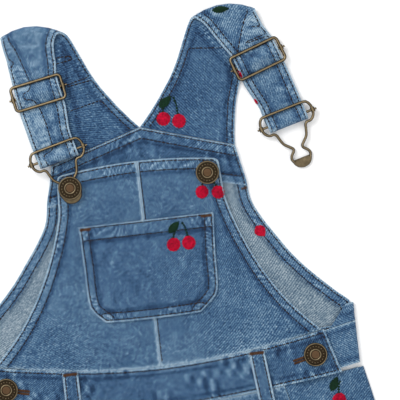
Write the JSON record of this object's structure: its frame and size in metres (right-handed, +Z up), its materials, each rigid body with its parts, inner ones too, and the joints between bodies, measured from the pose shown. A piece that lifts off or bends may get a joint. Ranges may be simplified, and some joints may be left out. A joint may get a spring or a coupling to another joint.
{
  "type": "child's shortalls",
  "caption": "Child's denim dungaree shorts laid flat, front up: bib with patch pocket, buckled straps, waistband, scooped hip pockets and short legs",
  "frame": {"origin": "centre of the footprint, on the surface that the garment lies on", "axes": "+Z up off the table towards the garment's front, +Y towards the straps, +X to the right seen from above"},
  "size_m": [0.3278, 0.4659, 0.0099],
  "materials": {
    "denim": "washed blue twill denim with brown topstitching",
    "denim_inside": "pale wrong side of washed denim",
    "brass": "antique brass, darkened in the hollows"
  },
  "bodies": {
    "root": {"back_panel": "denim_inside", "back_leg_left": "denim_inside", "back_leg_right": "denim_inside", "back_facing": "denim", "side_underlap_left": "denim", "side_underlap_right": "denim", "bib_left": "denim", "bib_right": "denim", "bib_pocket": "denim", "waistband_front": "denim", "waistband_back": "denim", "belt_loop_left": "denim", "belt_loop_right": "denim", "front_leg_left": "denim", "front_leg_right": "denim", "hip_facing_left": "denim", "hip_facing_right": "denim", "strap_left": "denim", "strap_right": "denim", "slider_left": "brass", "slider_right": "brass", "hook_left": "brass", "hook_right": "brass", "bib_button_left": "brass", "bib_button_right": "brass", "side_button_left": "brass", "side_button_right": "brass"}
  },
  "joints": []
}
